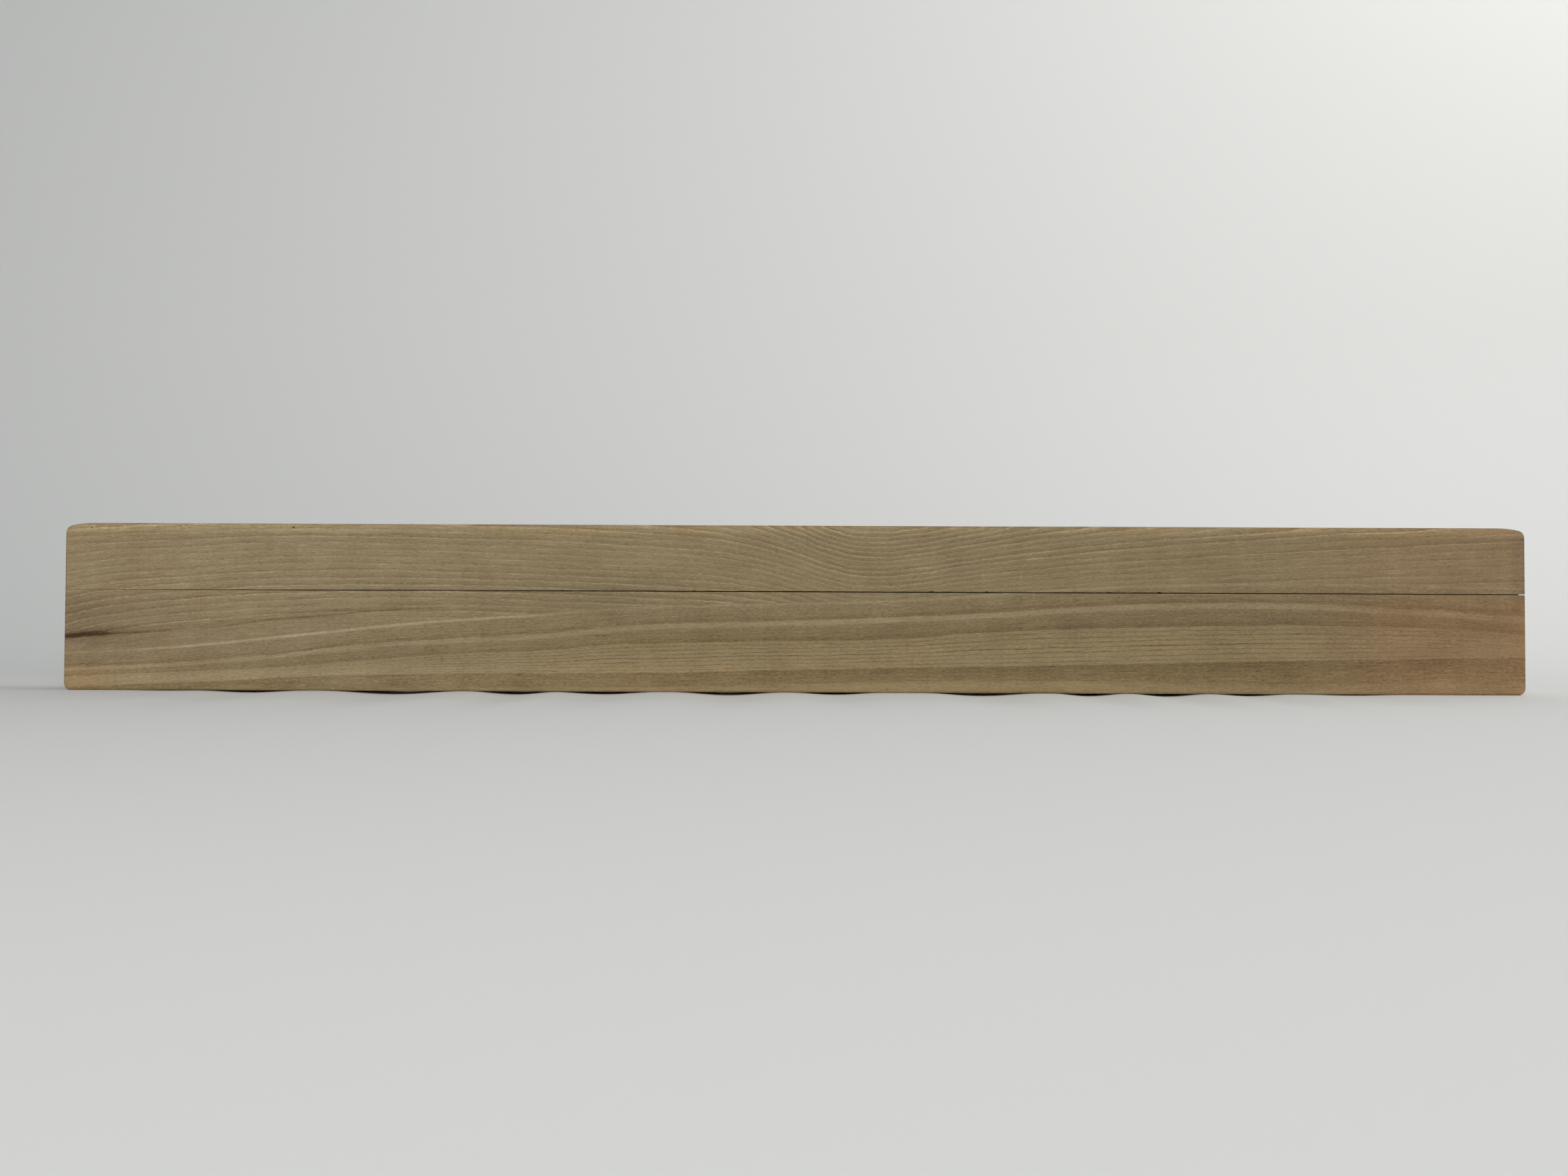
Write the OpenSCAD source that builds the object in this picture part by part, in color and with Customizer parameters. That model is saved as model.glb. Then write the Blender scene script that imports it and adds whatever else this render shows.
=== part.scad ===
// Wall-hung magnetic knife rack.
// One hardwood board is ripped lengthwise into an upper and a lower rail. A groove in the lower rail's
// joint edge holds a row of block magnets and a steel keeper strip behind a thin wooden wall, the rails
// are doweled and glued back together along the seam, and two keyhole hanger plates are let into the back.
// Millimetres. X runs along the rack, Z is up, the knife face looks along -Y, the back face is on Y = 0.

/* [Rack body] */
// Length of the rack
rack_length = 609.6; // [300:0.1:900]
// Height of the knife face
rack_height = 69.85; // [50:0.05:120]
// Thickness from the wall to the knife face
rack_thickness = 25.4; // [18:0.1:40]
// Height of the upper rail, from the seam to the top edge
upper_rail_height = 28; // [15:0.5:60]

/* [Edges] */
// Radius of the tight part of each top corner
top_corner_radius = 2.6; // [1:0.1:6]
// Length of the soft shoulder that leads into each top corner
top_shoulder_length = 10.8; // [4:0.1:20]
// Radius of the soft shoulder
top_shoulder_radius = 40; // [20:1:80]
// Radius of the bottom corners
bottom_corner_radius = 2; // [0.5:0.1:6]
// Radius along the top edge, at the knife face and at the back
top_edge_radius = 1.7; // [0.5:0.1:5]
// Radius along the bottom edge, at the knife face and at the back
bottom_edge_radius = 0.7; // [0.3:0.1:3]
// Radius of the four upright arrises at the ends
end_arris_radius = 0.8; // [0.3:0.1:3]

/* [Seam] */
// Widest opening of the dry joint line at the knife face
seam_gap = 0.4; // [0.1:0.05:1]
// Opening of the joint line at the right end
seam_gap_right = 0.3; // [0.1:0.05:1]
// Depth of the joint line from the knife face
seam_gap_depth = 4.5; // [1:0.1:6]
// Length at the left end over which the joint is fully closed
seam_closed_length = 15; // [5:0.5:60]
// Opening of the joint line where it is first clearly open
seam_gap_left = 0.25; // [0.05:0.05:0.6]
// Distance of that place from the left end
seam_open_length = 75; // [65:1:200]

/* [Magnets and keeper] */
// Number of block magnets
magnet_count = 13; // [3:1:20]
// Length of a magnet along the rack
magnet_length = 40; // [10:1:60]
// Height of a magnet
magnet_height = 20; // [8:1:30]
// Thickness of a magnet
magnet_thickness = 5; // [2:0.5:10]
// Distance from one magnet to the next
magnet_pitch = 44; // [12:0.5:70]
// Wood left between the groove and the knife face
front_wall = 2.5; // [1:0.1:5]
// Thickness of the steel keeper strip
keeper_thickness = 1.5; // [0.8:0.1:3]
// Height of the steel keeper strip
keeper_height = 19; // [8:0.5:30]
// Clearance around the magnets and the keeper strip
groove_clearance = 0.15; // [0.05:0.05:0.5]
// Height left over in the groove above the magnets
groove_headroom = 0.5; // [0.2:0.1:2]

/* [Dowels] */
// Dowel diameter
dowel_d = 6; // [4:1:10]
// Dowel length
dowel_length = 30; // [20:1:50]
// Distance of the inner dowels from the middle of the rack
dowel_inner_x = 90; // [40:5:150]
// Distance of the outer dowels from the middle of the rack
dowel_outer_x = 270; // [200:5:290]
// Distance of the dowel axes from the back face
dowel_inset = 8; // [5:0.5:15]

/* [Hangers] */
// Distance between the two hangers, one standard stud spacing
hanger_spacing = 406.4; // [200:0.1:600]
// Hanger plate length, upright
plate_length = 45; // [35:1:60]
// Hanger plate width
plate_width = 16; // [12:0.5:25]
// Hanger plate thickness
plate_thickness = 2; // [1:0.1:3]
// Diameter of the round entry of the keyhole
entry_d = 9.5; // [7:0.1:12]
// Width of the keyhole slot
slot_width = 5; // [3:0.1:7]
// Depth of the head pocket behind the plate
head_pocket_depth = 5; // [3:0.5:8]
// Distance between the two fixing screws of a plate
plate_screw_spacing = 33; // [25:0.5:50]

/* [Hanger screws] */
// Screw thread diameter
screw_d = 3; // [2:0.5:5]
// Screw head diameter
screw_head_d = 5.8; // [4:0.1:9]
// Screw length under the plate's outer face
screw_length = 12; // [8:1:16]
// Thread pitch
screw_pitch = 1.2; // [0.8:0.1:2]

/* [Hidden] */
$fn = 96;
eps = 0.01;
half_length = rack_length / 2;
half_height = rack_height / 2;
seam_z = half_height - upper_rail_height;
front_y = -rack_thickness;

// The small corner arc meets the shoulder arc with one tangent.
shoulder_run = top_shoulder_length - top_corner_radius;
shoulder_rest = top_shoulder_radius - top_corner_radius;
corner_drop = top_shoulder_radius - sqrt(shoulder_rest * shoulder_rest - shoulder_run * shoulder_run);
shoulder_angle = asin(shoulder_run / shoulder_rest);
sector_reach = 1.2;

magnet_row = (magnet_count - 1) * magnet_pitch;
groove_width = magnet_thickness + keeper_thickness + 2 * groove_clearance;
groove_y = front_y + front_wall;
groove_depth = magnet_height + groove_headroom;
groove_half = (magnet_row + magnet_length) / 2 + groove_width;
magnet_y = groove_y + groove_clearance;
keeper_y = magnet_y + magnet_thickness;
keeper_length = magnet_row + magnet_length;

dowel_places = [-dowel_outer_x, -dowel_inner_x, dowel_inner_x, dowel_outer_x];
dowel_fit = 0.05;
dowel_end_room = 0.5;
dowel_chamfer = 0.6;

hanger_z = seam_z;
entry_z = hanger_z - 5.5;
slot_end_z = hanger_z + 7.5;
recess_fit = 0.2;
recess_depth = plate_thickness + 0.1;
pocket_margin = 0.9;
screw_seat_depth = 1.6;
screw_hole_d = 3.6;
pilot_d = screw_d + 0.1;
pilot_room = 0.5;
recess_width = 0.7;
recess_span = 3.2;
recess_cut = 1.1;

wood = [0.62, 0.52, 0.36];
beech = [0.80, 0.66, 0.46];
nickel = [0.78, 0.78, 0.80];
steel = [0.55, 0.56, 0.58];
zinc = [0.72, 0.70, 0.62];

// ---- Outlines, drawn in the plane named and then extruded ----

// A bar of width w and height h with quarter-round ends of radius r, centred
module rounded_rect(w, h, r) {
  square([w - 2 * r, h], center = true);
  square([w, h - 2 * r], center = true);
  for (x = [-1, 1])
    for (z = [-1, 1])
      translate([x * (w / 2 - r), z * (h / 2 - r)])
        circle(r = r);
}

// A slot shape of width w whose end centres are z0 and z1
module stadium(w, z0, z1) {
  translate([-w / 2, z0])
    square([w, z1 - z0]);
  for (z = [z0, z1])
    translate([0, z])
      circle(d = w);
}

// The right-hand shoulder: the wedge of the large arc between the top edge and the tight corner
module shoulder_sector() {
  far = top_shoulder_radius * sector_reach;
  translate([half_length - top_shoulder_length, half_height - top_shoulder_radius])
    intersection() {
      circle(r = top_shoulder_radius);
      polygon([[0, 0], [far * sin(shoulder_angle), far * cos(shoulder_angle)], [0, far]]);
    }
}

// Front view of the upper half of the outline, down to a square lower edge
module top_outline() {
  flat = half_length - top_shoulder_length;
  translate([-half_length, -rack_height])
    square([rack_length, rack_height + half_height - corner_drop]);
  translate([-flat, -rack_height])
    square([2 * flat, rack_height + half_height]);
  for (side = [0, 1])
    mirror([side, 0]) {
      shoulder_sector();
      translate([half_length - top_corner_radius, half_height - corner_drop])
        circle(r = top_corner_radius);
    }
}

// Front view of the whole rack, in X and Z
module front_outline() {
  intersection() {
    top_outline();
    translate([0, half_height])
      rounded_rect(rack_length, 2 * rack_height, bottom_corner_radius);
  }
}

// Cross-section of the whole rack, in Y and Z, with the back face on the second axis
module section_outline() {
  intersection() {
    translate([-rack_thickness / 2, -half_height])
      rounded_rect(rack_thickness, 2 * rack_height, top_edge_radius);
    translate([-rack_thickness / 2, half_height])
      rounded_rect(rack_thickness, 2 * rack_height, bottom_edge_radius);
  }
}

// Plan of the whole rack, in X and Y
module plan_outline() {
  translate([0, -rack_thickness / 2])
    rounded_rect(rack_length, rack_thickness, end_arris_radius);
}

// Turns an X-Z outline into a solid running from y0 to y1
module along_y(y0, y1) {
  translate([0, y1, 0])
    rotate([90, 0, 0])
      linear_extrude(height = y1 - y0)
        children();
}

// ---- Wood ----

// The board before it is ripped and cut
module board() {
  intersection() {
    along_y(front_y, 0)
      front_outline();
    rotate([90, 0, 90])
      linear_extrude(height = rack_length + 2, center = true)
        section_outline();
    linear_extrude(height = rack_height + 2, center = true)
      plan_outline();
  }
}

// Everything above or below the seam
module rail_blank(z0, z1) {
  intersection() {
    board();
    translate([-half_length - 1, front_y - 1, z0])
      cube([rack_length + 2, rack_thickness + 2, z1 - z0]);
  }
}

// The dry joint line: a thin wedge that opens from the left and runs out through the right end
module seam_relief() {
  along_y(front_y - 1, front_y + seam_gap_depth)
    polygon([
      [-half_length + seam_closed_length, seam_z],
      [half_length + 1, seam_z],
      [half_length + 1, seam_z + seam_gap_right],
      [0, seam_z + seam_gap],
      [-half_length + seam_open_length, seam_z + seam_gap_left]
    ]);
}

// The stopped groove, with the round ends that a cutter leaves
module magnet_groove() {
  reach = groove_half - groove_width / 2;
  translate([0, groove_y + groove_width / 2, seam_z - groove_depth])
    linear_extrude(height = groove_depth + 1)
      rotate(90)
        stadium(groove_width, -reach, reach);
}

module dowel_holes() {
  for (x = dowel_places)
    translate([x, -dowel_inset, seam_z])
      cylinder(d = dowel_d + 2 * dowel_fit, h = dowel_length + 2 * dowel_end_room, center = true);
}

// Plate recess, head pocket and pilot holes of one hanger
module hanger_cutout() {
  plate_end = (plate_length - plate_width) / 2;
  along_y(-recess_depth, 1)
    stadium(plate_width + 2 * recess_fit, hanger_z - plate_end, hanger_z + plate_end);
  along_y(-recess_depth - head_pocket_depth, 0)
    stadium(entry_d + 2 * pocket_margin, entry_z, slot_end_z);
  for (side = [-1, 1])
    translate([0, 0, hanger_z + side * plate_screw_spacing / 2])
      rotate([90, 0, 0])
        cylinder(d = pilot_d, h = screw_length + pilot_room);
}

module hanger_cutouts() {
  for (side = [-1, 1])
    translate([side * hanger_spacing / 2, 0, 0])
      hanger_cutout();
}

module upper_rail() {
  color(wood)
    difference() {
      rail_blank(seam_z, half_height + 1);
      seam_relief();
      dowel_holes();
      hanger_cutouts();
    }
}

module lower_rail() {
  color(wood)
    difference() {
      rail_blank(-half_height - 1, seam_z);
      magnet_groove();
      dowel_holes();
      hanger_cutouts();
    }
}

module dowel() {
  shank = dowel_length - 2 * dowel_chamfer;
  cylinder(d = dowel_d, h = shank, center = true);
  for (side = [0, 1])
    mirror([0, 0, side])
      translate([0, 0, shank / 2])
        cylinder(d1 = dowel_d, d2 = dowel_d - 2 * dowel_chamfer, h = dowel_chamfer);
}

module dowels() {
  color(beech)
    for (x = dowel_places)
      translate([x, -dowel_inset, seam_z])
        dowel();
}

// ---- Magnets and keeper ----

// Magnet number i, counted from the left
module magnet(i) {
  edge = 0.5;
  color(nickel)
    translate([(i - 1) * magnet_pitch - magnet_row / 2, magnet_y, seam_z - groove_headroom - magnet_height / 2])
      along_y(0, magnet_thickness)
        rounded_rect(magnet_length, magnet_height, edge);
}

module keeper_strip() {
  color(steel)
    translate([-keeper_length / 2, keeper_y, seam_z - groove_depth + (groove_depth - keeper_height) / 2])
      cube([keeper_length, keeper_thickness, keeper_height]);
}

// ---- Hangers ----

module hanger_plate() {
  plate_end = (plate_length - plate_width) / 2;
  color(zinc)
    difference() {
      along_y(-plate_thickness, 0)
        difference() {
          stadium(plate_width, hanger_z - plate_end, hanger_z + plate_end);
          stadium(slot_width, entry_z, slot_end_z);
          translate([0, entry_z])
            circle(d = entry_d);
        }
      for (side = [-1, 1])
        translate([0, 0, hanger_z + side * plate_screw_spacing / 2])
          rotate([90, 0, 0]) {
            translate([0, 0, -1])
              cylinder(d = screw_hole_d, h = plate_thickness + 2);
            translate([0, 0, -eps])
              cylinder(d1 = screw_head_d + 0.2, d2 = screw_hole_d, h = screw_seat_depth);
          }
    }
}

module hanger_plate_left() {
  translate([-hanger_spacing / 2, 0, 0])
    hanger_plate();
}

module hanger_plate_right() {
  translate([hanger_spacing / 2, 0, 0])
    hanger_plate();
}

// A countersunk cross-recess screw with its head's top on Z = 0 and its point up
module screw() {
  head_room = 0.1;
  head_h = screw_seat_depth;
  core_d = screw_d * 0.7;
  point_h = 2;
  thread_start = 3;
  turns = floor((screw_length - point_h - thread_start) / screw_pitch);
  difference() {
    union() {
      translate([0, 0, head_room])
        cylinder(d1 = screw_head_d, d2 = core_d, h = head_h);
      translate([0, 0, head_h / 2])
        cylinder(d = core_d, h = screw_length - point_h - head_h / 2);
      translate([0, 0, screw_length - point_h])
        cylinder(d1 = core_d, d2 = 0.3, h = point_h);
      for (i = [0 : turns])
        translate([0, 0, thread_start + i * screw_pitch])
          cylinder(d1 = screw_d, d2 = core_d, h = screw_pitch * 0.6);
    }
    for (turn = [0, 90])
      rotate(turn)
        translate([-recess_span / 2, -recess_width / 2, -1])
          cube([recess_span, recess_width, 1 + recess_cut]);
  }
}

module hanger_screws() {
  color(zinc)
    for (x = [-1, 1])
      for (z = [-1, 1])
        translate([x * hanger_spacing / 2, 0, hanger_z + z * plate_screw_spacing / 2])
          rotate([90, 0, 0])
            screw();
}

// ---- Drawing ----

upper_rail();
lower_rail();
keeper_strip();
magnet(1);  // magnet_01
magnet(2);  // magnet_02
magnet(3);  // magnet_03
magnet(4);  // magnet_04
magnet(5);  // magnet_05
magnet(6);  // magnet_06
magnet(7);  // magnet_07
magnet(8);  // magnet_08
magnet(9);  // magnet_09
magnet(10);  // magnet_10
magnet(11);  // magnet_11
magnet(12);  // magnet_12
magnet(13);  // magnet_13
dowels();
hanger_plate_left();
hanger_plate_right();
hanger_screws();
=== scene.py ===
"""Knife magnetic rack: a long plain wooden bar, seen square-on as it stands on pale paper.

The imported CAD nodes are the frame. Both wooden rails are rebuilt here as finely divided meshes with worn
arrises, and every surface gets a procedural material. Lengths are in metres unless a name or a comment
says mm.
"""

import math

import bmesh
import bpy
import numpy as np
from mathutils import Matrix, Vector, noise as perlin


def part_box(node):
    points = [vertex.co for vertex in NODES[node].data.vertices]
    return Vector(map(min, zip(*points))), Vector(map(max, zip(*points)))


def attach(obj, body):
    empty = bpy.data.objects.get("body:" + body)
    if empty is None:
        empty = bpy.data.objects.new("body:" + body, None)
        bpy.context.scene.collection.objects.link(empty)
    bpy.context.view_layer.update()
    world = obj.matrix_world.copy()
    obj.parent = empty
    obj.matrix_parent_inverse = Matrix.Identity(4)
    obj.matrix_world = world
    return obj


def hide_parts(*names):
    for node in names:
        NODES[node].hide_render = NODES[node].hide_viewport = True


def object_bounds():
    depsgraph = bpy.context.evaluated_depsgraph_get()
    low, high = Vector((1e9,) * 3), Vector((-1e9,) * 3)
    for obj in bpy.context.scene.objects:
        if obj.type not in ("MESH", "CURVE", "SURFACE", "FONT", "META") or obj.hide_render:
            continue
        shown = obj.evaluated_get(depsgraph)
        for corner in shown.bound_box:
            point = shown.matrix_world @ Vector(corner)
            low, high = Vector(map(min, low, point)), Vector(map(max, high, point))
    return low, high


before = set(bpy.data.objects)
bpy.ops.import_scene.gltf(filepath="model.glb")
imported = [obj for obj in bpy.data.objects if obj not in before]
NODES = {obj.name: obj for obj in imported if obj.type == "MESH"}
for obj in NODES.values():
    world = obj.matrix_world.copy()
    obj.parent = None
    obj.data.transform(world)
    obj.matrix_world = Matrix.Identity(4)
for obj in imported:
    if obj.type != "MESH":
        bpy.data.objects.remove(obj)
cad_lo, cad_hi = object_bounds()

MM = 0.001
LENGTH_MM = (cad_hi.x - cad_lo.x) / MM
HEIGHT_MM = (cad_hi.z - cad_lo.z) / MM
THICK_MM = (cad_hi.y - cad_lo.y) / MM
HALF_L_MM = LENGTH_MM / 2
HALF_H_MM = HEIGHT_MM / 2
SEAM_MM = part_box("lower_rail")[1].z / MM
FLOOR_Z = cad_lo.z


# ---------------------------------------------------------------- camera

FOCAL_PX = 1789.0
IMAGE_W = 2212.0
SENSOR_MM = 36.0
CAMERA_DISTANCE = 0.5291
CAMERA_HEIGHT = 0.0326
CAMERA_X = -0.00465
PITCH_UP_DEG = 1.19
ROLL_DEG = 0.225
CLIP_START, CLIP_END = 0.01, 20.0


def make_camera():
    """A phone's wide lens, square to the knife face and a little above the floor."""
    data = bpy.data.cameras.new("camera")
    data.sensor_width = SENSOR_MM
    data.lens = SENSOR_MM * FOCAL_PX / IMAGE_W
    data.clip_start, data.clip_end = CLIP_START, CLIP_END
    camera = bpy.data.objects.new("camera", data)
    bpy.context.scene.collection.objects.link(camera)
    place = Matrix.Translation((CAMERA_X, cad_lo.y - CAMERA_DISTANCE, FLOOR_Z + CAMERA_HEIGHT))
    tilt = Matrix.Rotation(math.radians(90 + PITCH_UP_DEG), 4, "X")
    roll = Matrix.Rotation(math.radians(ROLL_DEG), 4, "Z")
    camera.matrix_world = place @ tilt @ roll
    bpy.context.scene.camera = camera


make_camera()


# ---------------------------------------------------------------- node arithmetic


class Field:
    """A number at every point of a surface, held as a node socket, that takes ordinary arithmetic."""

    def __init__(self, tree, socket):
        self.tree, self.socket = tree, socket

    def calc(self, operation, *others, clamp=False):
        node = self.tree.nodes.new("ShaderNodeMath")
        node.operation, node.use_clamp = operation, clamp
        for i, value in enumerate((self, *others)):
            if isinstance(value, Field):
                self.tree.links.new(value.socket, node.inputs[i])
            else:
                node.inputs[i].default_value = value
        return Field(self.tree, node.outputs[0])

    def __add__(self, other):
        return self.calc("ADD", other)

    def __sub__(self, other):
        return self.calc("SUBTRACT", other)

    def __mul__(self, other):
        return self.calc("MULTIPLY", other)

    def __truediv__(self, other):
        return self.calc("DIVIDE", other)

    def abs(self):
        return self.calc("ABSOLUTE")

    def fract(self):
        return self.calc("FRACT")

    def floor(self):
        return self.calc("FLOOR")

    def clamp(self, low, high):
        return self.calc("MAXIMUM", low).calc("MINIMUM", high)

    def step(self, low, high):
        """0 at low and 1 at high with a smooth change between; high may be the smaller, for a fall."""
        node = self.tree.nodes.new("ShaderNodeMapRange")
        node.interpolation_type = "SMOOTHSTEP"
        self.tree.links.new(self.socket, node.inputs["Value"])
        node.inputs["From Min"].default_value = min(low, high)
        node.inputs["From Max"].default_value = max(low, high)
        node.inputs["To Min"].default_value = 0.0 if low < high else 1.0
        node.inputs["To Max"].default_value = 1.0 if low < high else 0.0
        return Field(self.tree, node.outputs["Result"])

    def bump_at(self, centre, width):
        """A smooth hump of height 1 at centre that falls to 0 at width on both sides."""
        return (self - centre).abs().step(width, 0.0)

    def curve(self, points):
        """A smooth line through given (x, y) points, both in this field's own units."""
        xs = [p[0] for p in points]
        ys = [p[1] for p in points]
        x0, x1, y0, y1 = min(xs), max(xs), min(ys), max(ys)
        unit = (self - x0) / (x1 - x0)
        node = self.tree.nodes.new("ShaderNodeFloatCurve")
        line = node.mapping.curves[0]
        while len(line.points) < len(points):
            line.points.new(0.5, 0.5)
        for spot, (x, y) in zip(line.points, sorted(points)):
            spot.location = ((x - x0) / (x1 - x0), (y - y0) / (y1 - y0))
            spot.handle_type = "AUTO"
        node.mapping.update()
        self.tree.links.new(unit.clamp(0.0, 1.0).socket, node.inputs["Value"])
        return Field(self.tree, node.outputs["Value"]) * (y1 - y0) + y0


def combine(x, y, z):
    """A vector socket from three fields."""
    node = x.tree.nodes.new("ShaderNodeCombineXYZ")
    for i, value in enumerate((x, y, z)):
        x.tree.links.new(value.socket, node.inputs[i])
    return node.outputs[0]


def noise(x, y, z, detail=2.0, roughness=0.5):
    """Smooth noise from about -0.5 to 0.5, of unit size in the coordinates given."""
    tree = x.tree
    node = tree.nodes.new("ShaderNodeTexNoise")
    node.inputs["Scale"].default_value = 1.0
    node.inputs["Detail"].default_value = detail
    node.inputs["Roughness"].default_value = roughness
    tree.links.new(combine(x, y, z), node.inputs["Vector"])
    return Field(tree, node.outputs["Fac"]) - 0.5


def chance(number):
    """A fixed random value from 0 to 1 for each whole number."""
    node = number.tree.nodes.new("ShaderNodeTexWhiteNoise")
    node.noise_dimensions = "1D"
    number.tree.links.new(number.socket, node.inputs["W"])
    return Field(number.tree, node.outputs["Value"])


def new_material(name):
    """An empty material with its shader, its node tree, and this point's x, y, z in mm."""
    material = bpy.data.materials.new(name)
    material.use_nodes = True
    tree = material.node_tree
    tree.nodes.clear()
    output = tree.nodes.new("ShaderNodeOutputMaterial")
    shader = tree.nodes.new("ShaderNodeBsdfPrincipled")
    tree.links.new(shader.outputs["BSDF"], output.inputs["Surface"])
    coordinates = tree.nodes.new("ShaderNodeTexCoord")
    split = tree.nodes.new("ShaderNodeSeparateXYZ")
    tree.links.new(coordinates.outputs["Object"], split.inputs[0])
    x, y, z = (Field(tree, split.outputs[i]) * (1 / MM) for i in range(3))
    return material, tree, shader, x, y, z


def colour_ramp(value, stops):
    """A colour for each value from 0 to 1. stops are (position, (r, g, b))."""
    node = value.tree.nodes.new("ShaderNodeValToRGB")
    ramp = node.color_ramp
    while len(ramp.elements) < len(stops):
        ramp.elements.new(0.5)
    for element, (position, rgb) in zip(ramp.elements, stops):
        element.position = position
        element.color = (*rgb, 1.0)
    value.tree.links.new(value.socket, node.inputs["Fac"])
    return node.outputs["Color"]


def tint(tree, colour, rgb, amount):
    """colour multiplied by rgb where amount is 1."""
    node = tree.nodes.new("ShaderNodeMix")
    node.data_type, node.blend_type = "RGBA", "MULTIPLY"
    tree.links.new(amount.calc("ADD", 0.0, clamp=True).socket, node.inputs["Factor"])
    tree.links.new(colour, node.inputs["A"])
    node.inputs["B"].default_value = (*rgb, 1.0)
    return node.outputs["Result"]


def add_bump(tree, shader, height, distance, strength):
    """Relief of the surface. distance is in metres."""
    node = tree.nodes.new("ShaderNodeBump")
    node.inputs["Strength"].default_value = strength
    node.inputs["Distance"].default_value = distance
    tree.links.new(height.socket, node.inputs["Height"])
    tree.links.new(node.outputs["Normal"], shader.inputs["Normal"])


# ---------------------------------------------------------------- wood figure
# Heights in mm above the rack's middle at places along it in mm, as the lines run across the knife face.

# A growth line of the fine-lined zone: up from the left end, into a dip right of the middle, and up again
FINE_LINE = [
    (-305, 23.9), (-280, 26.1), (-250, 27.5), (-200, 29), (-150, 28.3), (-120, 27.5), (-80, 26),
    (-40, 23.8), (-20, 21), (0, 16), (18, 10.8), (32, 9), (48, 10), (70, 13), (110, 17), (155, 20.4),
    (214, 24), (305, 28.5),
]
# Distance between growth lines in that zone
FINE_SPACING = [
    (-305, 3.6), (-250, 3.1), (-150, 2.8), (-60, 2.7), (0, 2.3), (40, 2.05), (100, 2.4), (160, 2.8),
    (305, 3.4),
]
# Where the fine-lined zone ends and the broad-banded zone begins
ZONE_EDGE = [
    (-305, -19), (-280, -17.8), (-240, -14.5), (-200, -10.2), (-151, -5.4), (-110, -2.6), (-87, -0.7),
    (-47, 1.5), (2, 2.5), (36, 3.6), (75, 6), (115, 9), (160, 11), (305, 11),
]
# The pale band, the dark line and the top of the lowest dark band in the broad-banded zone
PALE_BAND = [
    (-305, -26.5), (-260, -24.3), (-220, -21.2), (-180, -16.5), (-150, -14.4), (-110, -12.6), (-87, -10.2),
    (-60, -7.9), (-36, -6.9), (2, -5.7), (75, -2.8), (155, 1.7), (209, 1.7), (239, 0.2), (305, -3.8),
]
DARK_LINE = [
    (-305, -29), (-260, -27.2), (-220, -25.4), (-180, -22), (-150, -19.6), (-100, -17.3), (-80, -15.2),
    (-40, -13.8), (2, -13), (36, -12.3), (76, -9.5), (115, -7.5), (155, -6.5), (239, -6), (305, -9.5),
]
LOW_BAND = [
    (-305, -34), (-250, -31.5), (-151, -27.7), (-58, -27), (0, -25.6), (155, -22.3), (229, -20.6),
    (305, -19.4),
]
# The dark line that runs on from the bark streak at the left end, between the fine lines
STREAK_LINE = [
    (-305, -12.9), (-285, -11.4), (-265, -10.4), (-240, -8.4), (-220, -5.6), (-200, -4), (-170, -1.2),
    (-140, 0.2),
]

# Places of the dark line, the pale band and the zone's edge on the banded zone's own scale, which is 0 at
# the top of the lowest dark band and near enough mm at the middle of the rack
DARK_LINE_AT, PALE_BAND_AT, ZONE_EDGE_AT = 13.0, 21.0, 29.0

# How light (+) or dark (-) the banded zone is along that scale
BAND_TONE = [
    (-10, 0.2), (-8, 0.3), (-6.2, 0.05), (-5, -0.3), (-2.5, -0.42), (-0.4, -0.52), (0.5, 0.25), (4, 0.3),
    (8, 0.24), (11, 0.12), (12.5, 0.1), (13.2, -0.55), (15, -0.32), (18, -0.26), (19.6, -0.02),
    (20.8, 0.38), (21.8, 0.25), (22.5, -0.42), (24, -0.16), (27.5, -0.05), (28.7, 0.35), (29.2, -0.3),
    (30, -0.12),
]
# Spacing in mm of the dark rings in the banded zone, on that scale
BANDED_RING_MM = 1.65
# Ring planes lean back through the board, which sets the end grain and the figure of the back face
RING_LEAN = 0.55
RING_CURVE = 0.006
# How strongly the figure's tones spread over the wood's colours, from dark to light
CONTRAST = 0.36
WOOD_COLOURS = [
    (0.0, (0.078, 0.046, 0.019)),
    (0.28, (0.204, 0.145, 0.072)),
    (0.5, (0.313, 0.238, 0.131)),
    (0.72, (0.426, 0.339, 0.204)),
    (1.0, (0.556, 0.480, 0.330)),
]
# Pin knots: place, height and size in mm
PIN_KNOTS = [(-209.6, 33.2, 0.5), (-293.8, 32.8, 0.38)]


def dashes(x, across, inside, length, thick, above):
    """Separate dashes along the grain, 1 inside and 0 outside. above sets how rare they are."""
    return noise(x / length, across / thick, inside / thick, detail=1.0).step(above, above + 0.1)


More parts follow.
